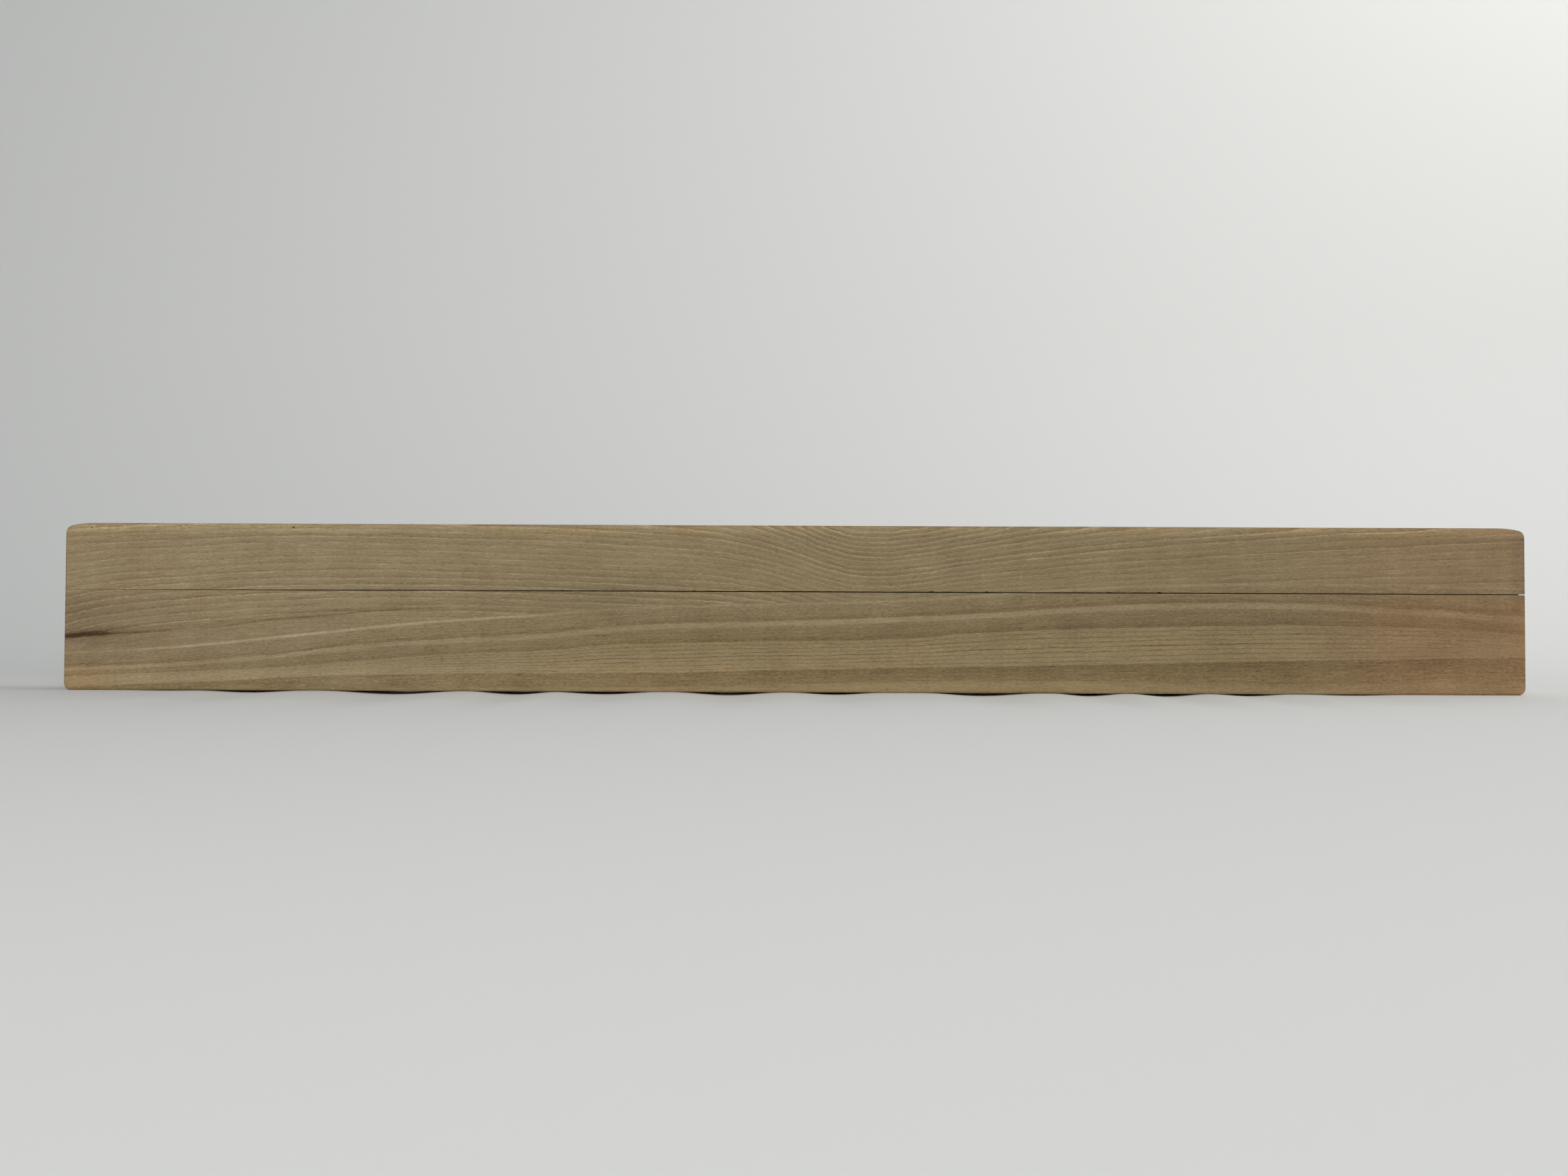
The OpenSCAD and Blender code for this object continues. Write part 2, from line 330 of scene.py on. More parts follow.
def fine_zone_tone(x, inside, level):
    """Tone of the fine-lined zone: a growth line is a pale row of filled pores with dark latewood above."""
    spacing = x.curve(FINE_SPACING)
    fine = (level - x.curve(FINE_LINE)) / spacing
    fine_mm = fine * 3.0
    fray = noise(x / 2.4, fine_mm / 0.9, inside / 0.9, detail=2.0)
    ring = fine + noise(x / 30, fine_mm / 2, inside / 9) * 0.55 + fray * 0.22
    phase = ring.fract()
    strength = chance(ring.floor()) * 0.65 + 0.35
    above = (phase - 0.2) * spacing
    broken = (noise(x / 26, fine_mm / 1.2, inside / 1.2, detail=2.0) * 2.6 + 0.8).clamp(0.15, 1.3)
    dashed = (noise(x / 2.2, fine_mm / 0.4, inside / 0.4, detail=1.0) * 3.4 + 0.85).clamp(0.15, 1.6)
    pale_line = above.bump_at(0.0, 0.55) * strength * broken * dashed
    latewood = above.step(0.1, 0.4) * above.step(2.0, 0.4) * strength
    return pale_line * 0.66 - latewood * 0.36 + 0.05, pale_line, fine_mm


def banded_zone_tone(x, inside, level, edge):
    """Tone of the broad-banded zone: listed bands with close dark rings in its lower half."""
    low, dark, pale = x.curve(LOW_BAND), x.curve(DARK_LINE), x.curve(PALE_BAND)
    banded = (
        (level - low).calc("MINIMUM", 0.0) * (x.step(70, 210) * -0.42 + 1.0)
        + ((level - low) / (dark - low)).clamp(0, 1) * DARK_LINE_AT
        + ((level - dark) / (pale - dark)).clamp(0, 1) * (PALE_BAND_AT - DARK_LINE_AT)
        + ((level - pale) / (edge - pale)).clamp(0, 1.4) * (ZONE_EDGE_AT - PALE_BAND_AT)
    )
    ring = banded / BANDED_RING_MM + noise(x / 40, banded / 3, inside / 9) * 0.55
    ring = ring + noise(x / 3, banded / 1.2, inside / 1.2, detail=2.0) * 0.22
    strength = chance(ring.floor() + 40.0) * 0.6 + 0.4
    dark_ring = ring.fract().bump_at(0.8, 0.18) * strength
    dark_ring = dark_ring * (noise(x / 18, banded / 2, inside / 6, detail=2.0) * 1.9 + 0.9).clamp(0.2, 1.4)
    ring_room = banded.step(-0.5, 1.0) * banded.step(14.0, 10.5) * x.step(-250, -120)
    ring_room = ring_room * x.step(330, 190) * 0.85 + 0.15
    frayed = banded + noise(x / 11, banded / 2.2, inside / 4, detail=2.0) * 0.7
    frayed = frayed + noise(x / 2.8, banded / 0.8, inside / 0.8, detail=1.0) * 0.45
    share = x.step(-150, 60) * 0.25 - x.step(170, 290) * 0.35 + 0.65
    share = share + noise(x / 24, banded / 5, inside / 9) * 0.8
    # A pale line runs along the zone's edge at the left
    edge_line = (level - edge).bump_at(-0.8, 1.0) * x.step(-290, -250) * x.step(-80, -125)
    bands = frayed.clamp(-10, 30).curve(BAND_TONE) * share
    return bands - dark_ring * ring_room + edge_line * 0.55, banded


def streak_tone(x, y, z, wander):
    """The dark line at the left between the fine lines, and the bark streak that it starts from."""
    over_line = z + wander * 0.4 - x.curve(STREAK_LINE)
    thread = over_line.bump_at(0.1, 0.8) * 0.8 + over_line.bump_at(1.5, 1.9) * 0.3
    thread = thread * x.step(-135, -175)
    thread = thread * (noise(x / 9, z / 1.5, y / 4, detail=2.0) * 1.8 + 0.85).clamp(0.1, 1.3)
    ragged = noise(x / 6, z / 0.4, y / 3, detail=2.0) * 2.2
    bark = (over_line + ragged).bump_at(0.3, 1.5) * x.step(-280, -297) * (x.step(-306, -299) * 0.4 + 0.6)
    bark = bark * (noise(x / 7, z / 0.35, y / 3) * 1.6 + 0.95).clamp(0.3, 1.2)
    halo = over_line.bump_at(1.0, 3.4) * x.step(-258, -290)
    # A small dark swirl left of the middle
    off_swirl = z + 11.3 - (x + 80) * 0.05 + noise(x / 4, z / 1.5, y / 4) * 1.6
    swirl = off_swirl.bump_at(0.0, 0.8) * x.bump_at(-80.5, 5.5)
    return thread * 0.7 + bark * 1.6 + halo * 0.4 + swirl * 0.5


def wood_fields(x, y, z):
    """Tone, pore and level fields of the board, the same in both rails because one board was ripped."""
    inside = y + THICK_MM
    wander = (
        noise(x / 85, z / 22, inside / 22) * 1.1
        + noise(x / 16, z / 5, inside / 5) * 0.5
        + noise(x / 5, z / 3, inside / 3) * 0.22
    )
    level = z - inside * RING_LEAN - inside * inside * RING_CURVE + wander

    edge = x.curve(ZONE_EDGE)
    in_banded = (level - edge).step(0.25, -0.25)
    fine_tone, pale_line, fine_mm = fine_zone_tone(x, inside, level)
    # The growth lines are faint under the streak line at the left
    fine_tone = fine_tone * ((z - x.curve(STREAK_LINE)).step(0.5, -1.5) * x.step(-140, -190) * -0.8 + 1.0)
    band_tone, banded = banded_zone_tone(x, inside, level, edge)
    tone = fine_tone + (band_tone - fine_tone) * in_banded - streak_tone(x, y, z, wander)
    across = fine_mm + (banded - fine_mm) * in_banded

    # Short slanting curls, long streaks, and slow patches
    slant = z - x * 0.09 + noise(x / 14, z / 7, inside / 7) * 2.4
    curls = noise(x / 1.7, slant / 0.36, inside / 0.6, detail=2.0) * (in_banded * 0.3 + 1.1)
    streaks = noise(x / 22, across / 0.45, inside / 0.7, detail=3.0, roughness=0.7) * 1.05
    patches = noise(x / 24, level / 13, inside / 14, detail=2.0) * 0.5
    flames = noise(x / 7, level / 40, inside / 40, detail=1.0) * 0.2
    speckle = noise(x / 0.9, across / 0.2, inside / 0.2, detail=1.0) * 0.75
    tone = tone + curls + streaks + patches + flames + speckle

    # Vessels and fibre bundles: dashes from one to ten mm long
    open_pore = dashes(x, across, inside, 3.4, 0.27, 0.14)
    filled_pore = dashes(x + 50.0, across, inside, 2.2, 0.27, 0.15)
    dark_bundle = dashes(x + 90.0, across, inside, 9.0, 0.42, 0.1)
    pale_bundle = dashes(x - 70.0, across, inside, 8.0, 0.4, 0.1)
    tone = tone - open_pore * 0.42 + filled_pore * 0.7 - dark_bundle * 0.25 + pale_bundle * 0.34
    return tone, open_pore, filled_pore, pale_line, level


def pin_knot(x, z, at_x, at_z, size):
    """A dark fleck a little longer than high."""
    dx, dz = (x - at_x) * (0.6 / size), (z - at_z) / size
    return (dx * dx + dz * dz).calc("SQRT").step(1.0, 0.3)


def rim_warmth(x, y, z):
    """Patches of orange along the worn edges, and a redder stretch at the right of the lower rail."""
    top = z.step(HALF_H_MM - 3.4, HALF_H_MM - 0.7)
    top = top * (noise(x / 24, z / 1.1, y / 4) * 3.0 + 0.25).clamp(0.0, 1.0)
    bottom = z.step(-HALF_H_MM + 4.2, -HALF_H_MM + 0.8)
    bottom = bottom * (noise(x / 50, z / 2, y / 5) * 2.0 + 0.5).clamp(0.0, 1.0)
    corner = x.step(-HALF_L_MM + 30, -HALF_L_MM + 3) * z.step(-20, -31) * 0.3
    left_side = x.step(-HALF_L_MM + 3, -HALF_L_MM + 0.6) * 0.2
    side = left_side + x.step(HALF_L_MM - 7, HALF_L_MM - 1) * z.step(6, 2) * 0.35
    right = x.step(205, 262) * z.step(SEAM_MM + 0.5, SEAM_MM - 3) * 0.5
    return top * 0.5 + bottom * 0.4 + corner + side, right


def shade_patches(tree, colour, x, z):
    """Slow changes of shade over the board: painted shade that darkens it towards the right, darker by the
    streak, lighter along both rims.
    """
    # Painted shade: the face grows darker towards the right end, standing in for light that falls off
    # there.
    colour = tint(tree, colour, (0.70, 0.69, 0.665), x.step(-400, 260))
    by_streak = x.step(-235, -295) * z.step(SEAM_MM + 1, -1) * z.step(-20, -13)
    colour = tint(tree, colour, (0.81, 0.80, 0.81), by_streak)
    right_tip = x.step(HALF_L_MM - 9, HALF_L_MM - 2) * z.step(0, 12)
    colour = tint(tree, colour, (0.88, 0.86, 0.89), right_tip)
    left_of_middle = x.bump_at(-85, 95) * z.bump_at(5, 18)
    colour = tint(tree, colour, (0.87, 0.88, 0.88), left_of_middle)
    top_rim = z.step(29.8, 32.6) * (x.abs().step(120, 260) * 0.4 + 0.6)
    colour = tint(tree, colour, (1.28, 1.29, 1.31), top_rim)
    low_rim = z.step(-22, -28) * (z.step(-29, -33) * -0.7 + 1.0)
    colour = tint(tree, colour, (1.13, 1.11, 1.09), low_rim)
    lower_middle = z.step(-4, -14) * x.step(-140, -60) * x.step(250, 190)
    colour = tint(tree, colour, (1.0, 0.985, 0.93), lower_middle)
    left, right = x.step(-100, -220), x.step(170, 260)
    colour = tint(tree, colour, (1.0, 1.01, 1.05), left)
    return tint(tree, colour, (1.04, 0.99, 1.0), right)


def wood_material():
    """The board's wood, which runs through both rails without a break."""
    material, tree, shader, x, y, z = new_material("rail_wood")
    tone, open_pore, filled_pore, pale_line, level = wood_fields(x, y, z)

    first_knot, second_knot = (pin_knot(x, z, *knot) for knot in PIN_KNOTS)
    knots = first_knot + second_knot
    # End grain drinks more oil and turns darker. The walls inside the dry joint get painted shade, from
    # just behind the knife face inwards
    end_grain = x.abs().step(HALF_L_MM - 0.9, HALF_L_MM - 0.2)
    joint_painted_shade = (z - SEAM_MM - 0.15).bump_at(0.0, 0.5) * y.step(-THICK_MM + 0.3, -THICK_MM + 0.9)
    tone = tone - knots * 1.3 - end_grain * 0.45 - joint_painted_shade * 2.0

    colour = colour_ramp(tone * CONTRAST + 0.5, WOOD_COLOURS)
    rim, right = rim_warmth(x, y, z)
    colour = shade_patches(tree, colour, x, z)
    colour = tint(tree, colour, (1.16, 0.98, 0.74), rim)
    colour = tint(tree, colour, (1.06, 0.93, 0.84), right)
    red_patch = noise(x / 30, z / 5, y / 8) * 1.6 + 0.2 + x.abs().step(190, 280) * 0.4
    colour = tint(tree, colour, (1.04, 0.98, 0.945), red_patch)
    tree.links.new(colour, shader.inputs["Base Color"])

    grit = noise(x / 0.8, y / 0.35, z / 0.35, detail=2.0)
    height = filled_pore * 0.15 - open_pore * 0.9 - pale_line * 0.25 + grit * 0.35
    add_bump(tree, shader, height, 0.00012, 0.6)
    roughness = (noise(x / 20, level / 2, y / 6) * 0.16 + open_pore * 0.12 + 0.6).clamp(0.4, 0.85)
    tree.links.new(roughness.socket, shader.inputs["Roughness"])
    shader.inputs["Specular IOR Level"].default_value = 0.16
    return material


# ---------------------------------------------------------------- rails

# The rails stay this far inside the CAD solids, which cut their grooves, pockets and bores
SKIN_MM = 0.01
# Radii of the worn edges and corners, and how far the top edge is worn down on average
TOP_EDGE_MM = 1.7
BOTTOM_EDGE_MM = 1.15
LIP_MM = 0.1
END_ARRIS_MM = 0.8
TOP_CORNER_MM = 2.6
BOTTOM_CORNER_MM = 2.7
SHOULDER_MM = 40.0
SHOULDER_LENGTH_MM = 10.8
TOP_WEAR_MM = 0.05
# Distance between sections along the rack, and between points up the faces
STATION_MM = 1.6
ROW_MM = 2.0
JOINT_DEPTH_MM = 4.55

# How far from the left end the joint line is closed and where it is first clearly open, and its widths in
# mm up to the first of these places, at the second, at the middle of the rack and at its right end
JOINT_CLOSED_MM = 15.0
JOINT_OPEN_MM = 75.0
JOINT_WIDTHS = (0.02, 0.26, 0.41, 0.31)
# Chips in the upper lip of the joint: place, half length and height in mm
CHIPS = [
    (-97, 0.8, 0.1), (-42, 0.9, 0.16), (57, 1.1, 0.2), (80, 0.7, 0.18), (131, 0.8, 0.15), (152, 1.1, 0.24),
]
# Edges sharper than this are shaded as edges
SHARP_DEG = 32


def drift(place, scale, seed):
    """Smooth noise from about -1 to 1 along a line, the same on every run."""
    return perlin.noise(Vector((place / scale, seed + 0.37, 0.61)))


def end_inset(from_end, radius):
    """How far a rounded end has drawn in at that distance from the end."""
    return radius - math.sqrt(radius**2 - (radius - from_end) ** 2) if from_end < radius else 0.0


def shoulder_drop(from_end):
    """How far the top edge has dropped: a long soft shoulder that runs into a tight corner."""
    run, rest = SHOULDER_LENGTH_MM - TOP_CORNER_MM, SHOULDER_MM - TOP_CORNER_MM
    corner_drop = SHOULDER_MM - math.sqrt(rest**2 - run**2)
    meeting = SHOULDER_LENGTH_MM - SHOULDER_MM * run / rest
    if from_end < meeting:
        return corner_drop - math.sqrt(TOP_CORNER_MM**2 - (TOP_CORNER_MM - from_end) ** 2)
    return end_inset(from_end + SHOULDER_MM - SHOULDER_LENGTH_MM, SHOULDER_MM)


def joint_gap(x):
    """Height of the dry joint line at a place along the rack."""
    closed, first, middle, right = JOINT_WIDTHS
    stops = [-HALF_L_MM + JOINT_CLOSED_MM, -HALF_L_MM + JOINT_OPEN_MM, 0.0, HALF_L_MM]
    width = float(np.interp(x, stops, (closed, first, middle, right)))
    if width > closed:
        width += 0.05 * drift(x, 4.0, 1) + 0.04 * drift(x, 1.3, 2)
    chips = sum(height * max(0.0, 1 - ((x - at) / half) ** 2) for at, half, height in CHIPS)
    return max(closed, width) + chips


def arc(centre_y, centre_z, radius, start, stop, steps=7):
    """Points on a quarter round, from one angle to another in degrees."""
    angles = [math.radians(start + (stop - start) * i / steps) for i in range(steps + 1)]
    return [(centre_y + radius * math.cos(a), centre_z + radius * math.sin(a)) for a in angles]


def spaced(start, stop, step):
    """Points strictly between two others, at most a step apart."""
    count = max(1, math.ceil(abs(stop[1] - start[1] + stop[0] - start[0]) / step))
    return [
        (start[0] + (stop[0] - start[0]) * i / count, start[1] + (stop[1] - start[1]) * i / count)
        for i in range(1, count)
    ]


def upper_section(x, rows):
    """The upper rail's outline at one station, from the joint's lip up the knife face and round."""
    front, low = -THICK_MM + SKIN_MM, SEAM_MM + SKIN_MM
    top = HALF_H_MM - SKIN_MM - shoulder_drop(HALF_L_MM - abs(x))
    top -= TOP_WEAR_MM * (1 + drift(x, 45, 5))
    front_r = TOP_EDGE_MM + 0.45 * drift(x, 30, 3) + 0.12 * drift(x, 6, 4)
    back_r = TOP_EDGE_MM + 0.3 * drift(x, 40, 6)
    lip = low + joint_gap(x)
    base = front + JOINT_DEPTH_MM
    points = arc(front + LIP_MM, lip + LIP_MM, LIP_MM, 270, 180, 3)
    points += [(front, lip + LIP_MM + (top - front_r - lip - LIP_MM) * t) for t in rows]
    points += arc(front + front_r, top - front_r, front_r, 180, 90)
    points += spaced((front + front_r, top), (-SKIN_MM - back_r, top), ROW_MM)
    points += arc(-SKIN_MM - back_r, top - back_r, back_r, 90, 0)
    points += [(-SKIN_MM, top - back_r + (low - top + back_r) * t) for t in rows]
    points += [(-SKIN_MM, low), (-THICK_MM / 2, low), (base, low), (base, lip)]
    return points


def lower_section(x, rows):
    """The lower rail's outline at one station, from its bottom edge up the knife face and round."""
    front, top = -THICK_MM + SKIN_MM, SEAM_MM - SKIN_MM
    low = -HALF_H_MM + SKIN_MM + end_inset(HALF_L_MM - abs(x), BOTTOM_CORNER_MM)
    front_r = BOTTOM_EDGE_MM + 0.3 * drift(x, 30, 7) + 0.1 * drift(x, 7, 8)
    lip = LIP_MM * (1.3 + 0.5 * drift(x, 9, 9))
    points = arc(front + front_r, low + front_r, front_r, 270, 180)
    points += [(front, low + front_r + (top - lip - low - front_r) * t) for t in rows]
    points += arc(front + lip, top - lip, lip, 180, 90, 3)
    points += spaced((front + lip, top), (-SKIN_MM, top), ROW_MM * 4)
    points += [(-SKIN_MM, top + (low + front_r - top) * t) for t in (0.0, *rows)]
    points += arc(-SKIN_MM - front_r, low + front_r, front_r, 0, -90)
    points += spaced((-SKIN_MM - front_r, low), (front + front_r, low), ROW_MM)
    return points


def stations():
    """Places along the rack for the rails' sections: closer in the rounded ends and at the chips."""
    from_end = {SHOULDER_LENGTH_MM * i / 14 for i in range(15)}
    for radius in (END_ARRIS_MM, TOP_CORNER_MM):
        from_end |= {radius * (1 - math.cos(math.radians(t))) for t in range(0, 91, 10)}
    from_end = well_apart(from_end)
    places = {side * (HALF_L_MM - SKIN_MM - e) for e in from_end for side in (-1, 1)}
    inner = HALF_L_MM - SHOULDER_LENGTH_MM
    count = round(2 * inner / STATION_MM)
    places |= {-inner + 2 * inner * i / count for i in range(1, count)}
    for at, half, _ in CHIPS:
        places |= {at + half * i / 4 for i in range(-4, 5)}
    return well_apart(places)


def well_apart(places):
    """The places in order, less any that is nearly the same as the one before it."""
    kept = []
    for place in sorted(places):
        if not kept or place - kept[-1] > 0.02:
            kept.append(place)
    return kept


def loft_rail(name, section, face_height):
    """Joins a rail's sections into one closed mesh with rounded end arrises.

    It is made of triangles, because the boolean in keep_inside drops many faces of the same mesh in quads.
    """
    count = round(face_height / ROW_MM)
    rows = [i / count for i in range(1, count)]
    half_thick = THICK_MM / 2
    rings = []
    for x in stations():
        squeeze = 1 - end_inset(HALF_L_MM - abs(x), END_ARRIS_MM) / half_thick
        rings.append([(x, -half_thick + (y + half_thick) * squeeze, z) for y, z in section(x, rows)])
    around = len(rings[0])
    points = [Vector(p) * MM for ring in rings for p in ring]
    faces = [
        (a + i, b + i, b + (i + 1) % around, a + (i + 1) % around)
        for a, b in ((around * s, around * (s + 1)) for s in range(len(rings) - 1))
        for i in range(around)
    ]
    last = around * (len(rings) - 1)
    faces += [tuple(range(around)), tuple(last + i for i in reversed(range(around)))]
    piece = add_mesh(name, points, faces, WOOD)
    mesh = bmesh.new()
    mesh.from_mesh(piece.data)
    bmesh.ops.recalc_face_normals(mesh, faces=mesh.faces)
    bmesh.ops.triangulate(mesh, faces=mesh.faces)
    mesh.to_mesh(piece.data)
    mesh.free()
    return piece


def keep_inside(piece, node):
    """Leaves only what lies inside a CAD node, so that the piece has its groove, pockets and bores."""
    tool_mesh = NODES[node].data.copy()
    mesh = bmesh.new()
    mesh.from_mesh(tool_mesh)
    bmesh.ops.remove_doubles(mesh, verts=mesh.verts, dist=1e-7)
    mesh.to_mesh(tool_mesh)
    mesh.free()
    tool = bpy.data.objects.new("cutter", tool_mesh)
    bpy.context.scene.collection.objects.link(tool)
    cut = piece.modifiers.new("cuts", "BOOLEAN")
    cut.operation, cut.solver, cut.object = "INTERSECT", "EXACT", tool
    bpy.context.view_layer.update()
    result = bpy.data.meshes.new_from_object(piece.evaluated_get(bpy.context.evaluated_depsgraph_get()))
    piece.modifiers.clear()
    piece.data = result
    result.materials.clear()
    result.materials.append(WOOD)
    result.polygons.foreach_set("use_smooth", [True] * len(result.polygons))
    result.set_sharp_from_angle(angle=math.radians(SHARP_DEG))
    bpy.data.objects.remove(tool)
    shade = piece.modifiers.new("even_shading", "WEIGHTED_NORMAL")
    shade.keep_sharp = True


def add_mesh(name, points, faces, material):
    """A smooth-shaded object from points and faces."""
    mesh = bpy.data.meshes.new(name)
    mesh.from_pydata(points, [], faces)
    mesh.materials.append(material)
    mesh.polygons.foreach_set("use_smooth", [True] * len(mesh.polygons))
    mesh.update()
    piece = bpy.data.objects.new(name, mesh)
    bpy.context.scene.collection.objects.link(piece)
    return piece


def make_rails():
    sections = {
        "upper_rail": (upper_section, HALF_H_MM - SEAM_MM),
        "lower_rail": (lower_section, HALF_H_MM + SEAM_MM),
    }
    for node, (section, face_height) in sections.items():
        piece = loft_rail(node + "_wood", section, face_height)
        keep_inside(piece, node)
        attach(piece, "root")
        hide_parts(node)


WOOD = wood_material()
make_rails()


# ---------------------------------------------------------------- metal and dowels


def metal_material(name, rgb, spots, roughness, streak):
    """Plated or mill-finished steel.

    spots is how bright its darker spots are beside rgb. streak is the size in mm of its brushing along x, y
    and z.
    """
    material, tree, shader, x, y, z = new_material(name)
    brush = noise(x / streak[0], y / streak[1], z / streak[2], detail=3.0, roughness=0.6)
    cloud = noise(x / 7, y / 7, z / 7, detail=3.0)
    speck = noise(x / 0.5, y / 0.5, z / 0.5, detail=1.0).step(0.2, 0.3)
    dark = tuple(c * spots for c in rgb)
    tone = brush * 0.7 + cloud * 0.9 + 0.5 - speck * 0.25
    colour = colour_ramp(tone, [(0.15, dark), (0.55, rgb), (1.0, rgb)])
    tree.links.new(colour, shader.inputs["Base Color"])
    shader.inputs["Metallic"].default_value = 1.0
    shine = (brush * 0.22 + cloud * 0.2 + speck * 0.12 + roughness).clamp(0.12, 0.85)
    tree.links.new(shine.socket, shader.inputs["Roughness"])
    add_bump(tree, shader, brush + cloud * 0.3 - speck * 0.4, 0.00003, 0.5)
    return material


def dowel_material():
    """Raw beech: short dark flecks and fine pores along the dowel, which stands upright."""
    material, tree, shader, x, y, z = new_material("dowel_wood")
    grain = noise(x / 0.5, y / 0.5, z / 12, detail=3.0)
    fleck = noise(x / 0.25, y / 0.25, z / 1.4, detail=0.0).step(0.18, 0.26)
    colour = colour_ramp(
        grain * 0.9 + 0.55 - fleck * 0.3,
        [(0.1, (0.36, 0.22, 0.11)), (0.5, (0.56, 0.40, 0.23)), (0.9, (0.68, 0.52, 0.33))],
    )
    tree.links.new(colour, shader.inputs["Base Color"])
    roughness = grain * 0.2 + 0.68
    tree.links.new(roughness.socket, shader.inputs["Roughness"])
    add_bump(tree, shader, grain - fleck * 0.5, 0.00008, 0.5)
    return material


EASED_DEG = 50


def ease_edges(piece, width_mm):
    """A small round on the sharp edges of a CAD node, which its mesh keeps underneath."""
    bevel = piece.modifiers.new("eased", "BEVEL")
    bevel.limit_method, bevel.angle_limit = "ANGLE", math.radians(EASED_DEG)
    bevel.width, bevel.segments = width_mm * MM, 2
    bevel.use_clamp_overlap = True


def finish_cad_nodes():
    """Gives every CAD node that still shows its material and eased edges."""
    zinc = metal_material("zinc_plate", (0.58, 0.565, 0.51), 0.70, 0.38, (0.3, 1.5, 9))
    screw_zinc = metal_material("zinc_screw", (0.63, 0.57, 0.42), 0.62, 0.32, (0.5, 0.5, 0.5))
    nickel = metal_material("nickel", (0.70, 0.685, 0.655), 0.82, 0.2, (14, 14, 6))
    mill_steel = metal_material("mill_steel", (0.42, 0.43, 0.44), 0.55, 0.42, (30, 2, 0.4))
    beech = dowel_material()
    finishes = {
        "hanger_plate": (zinc, 0.25),
        "hanger_screws": (screw_zinc, 0.0),
        "magnet": (nickel, 0.3),
        "keeper": (mill_steel, 0.12),
        "dowels": (beech, 0.0),
    }
    for node, piece in NODES.items():
        for start, (material, ease_mm) in finishes.items():
            if node.startswith(start):
                piece.data.materials.clear()
                piece.data.materials.append(material)
                if ease_mm:
                    ease_edges(piece, ease_mm)


finish_cad_nodes()


# ---------------------------------------------------------------- stage

PAPER_WHITE = (0.80, 0.80, 0.785)
# The bend in which the paper rises behind the rack
SWEEP_START = 0.16
SWEEP_RADIUS = 0.30
SWEEP_TURN_DEG = 82
SWEEP_STEPS = 24
SWEEP_TOP = 1.6
STAGE_HALF_WIDTH = 2.2
STAGE_FRONT, STAGE_BACK = -2.4, 3.0
# How far the paper lies below the rack's foot, and the plain floor below the paper
PAPER_GAP = 0.00002
FLOOR_GAP = 0.0015
# The paper's waves rise from the first y to the second and die out from the third to the fourth
WAVES_Y = (-0.15, -0.04, 0.03, 0.12)
# Dips of the paper under the rack's foot: place, half length and depth, all in mm
PAPER_DIPS = [
    (-262, 20, 0.2), (-228, 24, 0.95), (-168, 30, 1.5), (-117, 20, 1.4), (-80, 24, 1.15), (-28, 24, 1.35),
    (17, 20, 0.95), (78, 25, 1.25), (123, 16, 1.15), (156, 17, 1.2), (190, 17, 0.85), (233, 22, 0.4),
]


def one_sided_paper(name, rgb):
    """Matt white paper that is seen and lit only from its upper side, so that it never hides the rack."""
    material, tree, shader, x, y, z = new_material(name)
    shader.inputs["Base Color"].default_value = (*rgb, 1.0)
    shader.inputs["Roughness"].default_value = 0.9
    shader.inputs["Specular IOR Level"].default_value = 0.1
    back = tree.nodes.new("ShaderNodeNewGeometry")
    clear = tree.nodes.new("ShaderNodeBsdfTransparent")
    mix = tree.nodes.new("ShaderNodeMixShader")
    tree.links.new(back.outputs["Backfacing"], mix.inputs["Fac"])
    tree.links.new(shader.outputs["BSDF"], mix.inputs[1])
    tree.links.new(clear.outputs["BSDF"], mix.inputs[2])
    output = next(n for n in tree.nodes if n.type == "OUTPUT_MATERIAL")
    tree.links.new(mix.outputs["Shader"], output.inputs["Surface"])
    return material


def smooth_rise(value, low, high):
    """0 below low, 1 above high, and a smooth rise between."""
    t = min(1.0, max(0.0, (value - low) / (high - low)))
    return t * t * (3 - 2 * t)


def paper_sag(x, y):
    """How far the paper hangs below the rack's foot: it lies in low waves there and flat further out."""
    front, full, fading, gone = WAVES_Y
    near = smooth_rise(y, front, full) * (1 - smooth_rise(y, fading, gone))
    dips = 0.0
    for place, half, depth in PAPER_DIPS:
        reach = abs(x / MM - place) / half
        if reach < 1:
            dips += depth * math.cos(reach * math.pi / 2) ** 2
    return dips * MM * near


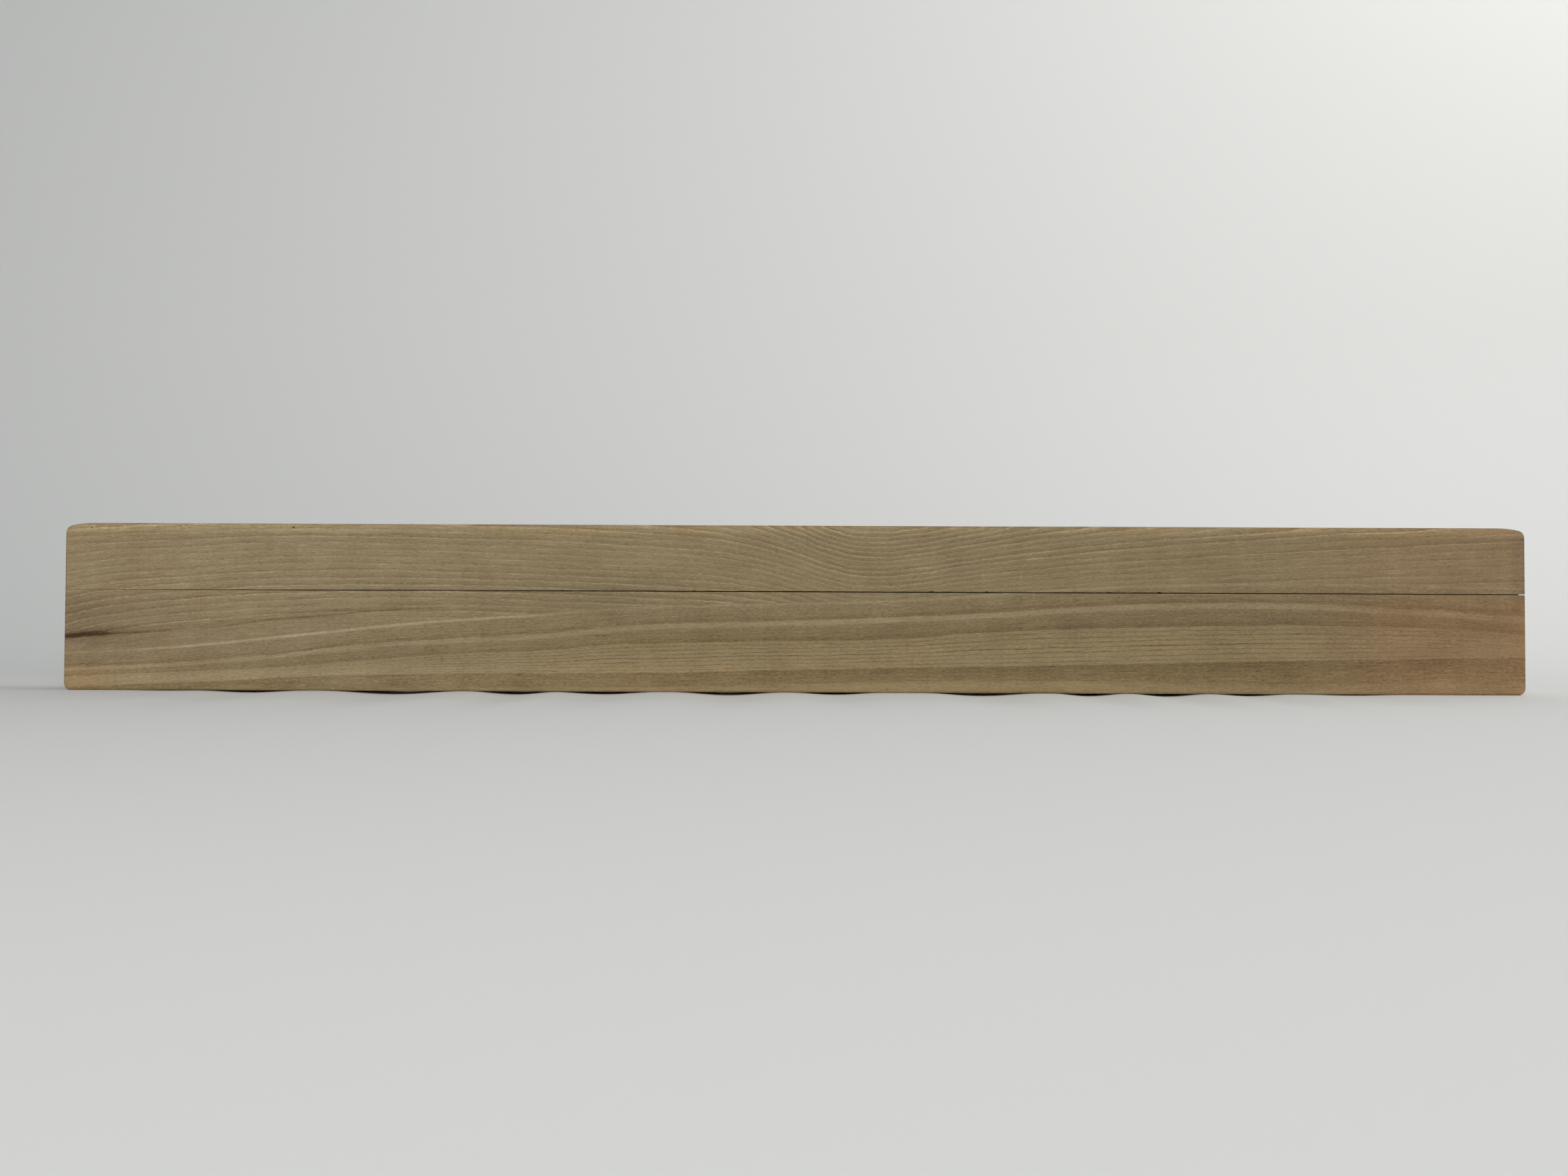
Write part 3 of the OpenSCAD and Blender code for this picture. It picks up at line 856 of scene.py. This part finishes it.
def make_stage():
    """A sheet of white paper that lies in low waves under the rack and rises behind it in one bend."""
    paper = one_sided_paper("paper", PAPER_WHITE)
    profile = [(STAGE_FRONT, 0.0), (-1.0, 0.0), (-0.5, 0.0), (-0.3, 0.0)]
    profile += [(-0.2 + 0.01 * i, 0.0) for i in range(37)]
    for i in range(1, SWEEP_STEPS + 1):
        turn = math.radians(SWEEP_TURN_DEG) * i / SWEEP_STEPS
        profile.append((SWEEP_START + SWEEP_RADIUS * math.sin(turn), SWEEP_RADIUS * (1 - math.cos(turn))))
    last_y, last_z = profile[-1]
    profile.append((last_y + (SWEEP_TOP - last_z) / math.tan(math.radians(SWEEP_TURN_DEG)), SWEEP_TOP))
    drop = FLOOR_Z - PAPER_GAP
    fine = [0.003 * i for i in range(-110, 111)]
    across = [-STAGE_HALF_WIDTH, -1.0, -0.5, *fine, 0.5, 1.0, STAGE_HALF_WIDTH]
    points = [(x, y, z + drop - paper_sag(x, y)) for y, z in profile for x in across]
    n = len(across)
    faces = [
        (n * j + i, n * j + i + 1, n * (j + 1) + i + 1, n * (j + 1) + i)
        for j in range(len(profile) - 1)
        for i in range(n - 1)
    ]
    sweep = add_mesh("paper_sweep", points, faces, paper)
    w, low = STAGE_HALF_WIDTH, drop - FLOOR_GAP
    corners = [(-w, STAGE_FRONT, low), (w, STAGE_FRONT, low), (w, STAGE_BACK, low), (-w, STAGE_BACK, low)]
    rest = add_mesh("floor", corners, [(0, 1, 2, 3)], paper)


def area_light(name, place, aim, size, power, rgb):
    """A rectangular light at a place, turned to face its aim. size is its width and height."""
    data = bpy.data.lights.new(name, "AREA")
    data.shape, data.size, data.size_y = "RECTANGLE", size[0], size[1]
    data.energy, data.color = power, rgb
    lamp = bpy.data.objects.new(name, data)
    bpy.context.scene.collection.objects.link(lamp)
    lamp.location = place
    lamp.rotation_euler = (Vector(aim) - Vector(place)).to_track_quat("-Z", "Y").to_euler()


SKY_COLOUR = (0.86, 0.93, 1.0, 1.0)
SKY_STRENGTH = 0.265
LAMP_COLOUR = (1.0, 0.985, 0.95)


def make_light():
    """A dim cool sky, a soft key from the front, and a light that brightens the backdrop at the right."""
    world = bpy.data.worlds.new("studio")
    bpy.context.scene.world = world
    world.use_nodes = True
    background = world.node_tree.nodes["Background"]
    background.inputs["Color"].default_value = SKY_COLOUR
    background.inputs["Strength"].default_value = SKY_STRENGTH
    area_light("front_key", (0.25, -1.5, 0.6), (0.1, 0.0, 0.1), (1.0, 0.6), 14.8, LAMP_COLOUR)
    area_light("backdrop_side", (0.9, 0.0, 1.05), (0.45, 0.46, 0.55), (0.7, 0.7), 4.8, LAMP_COLOUR)


make_stage()
make_light()
bpy.context.scene.view_settings.view_transform = "Standard"
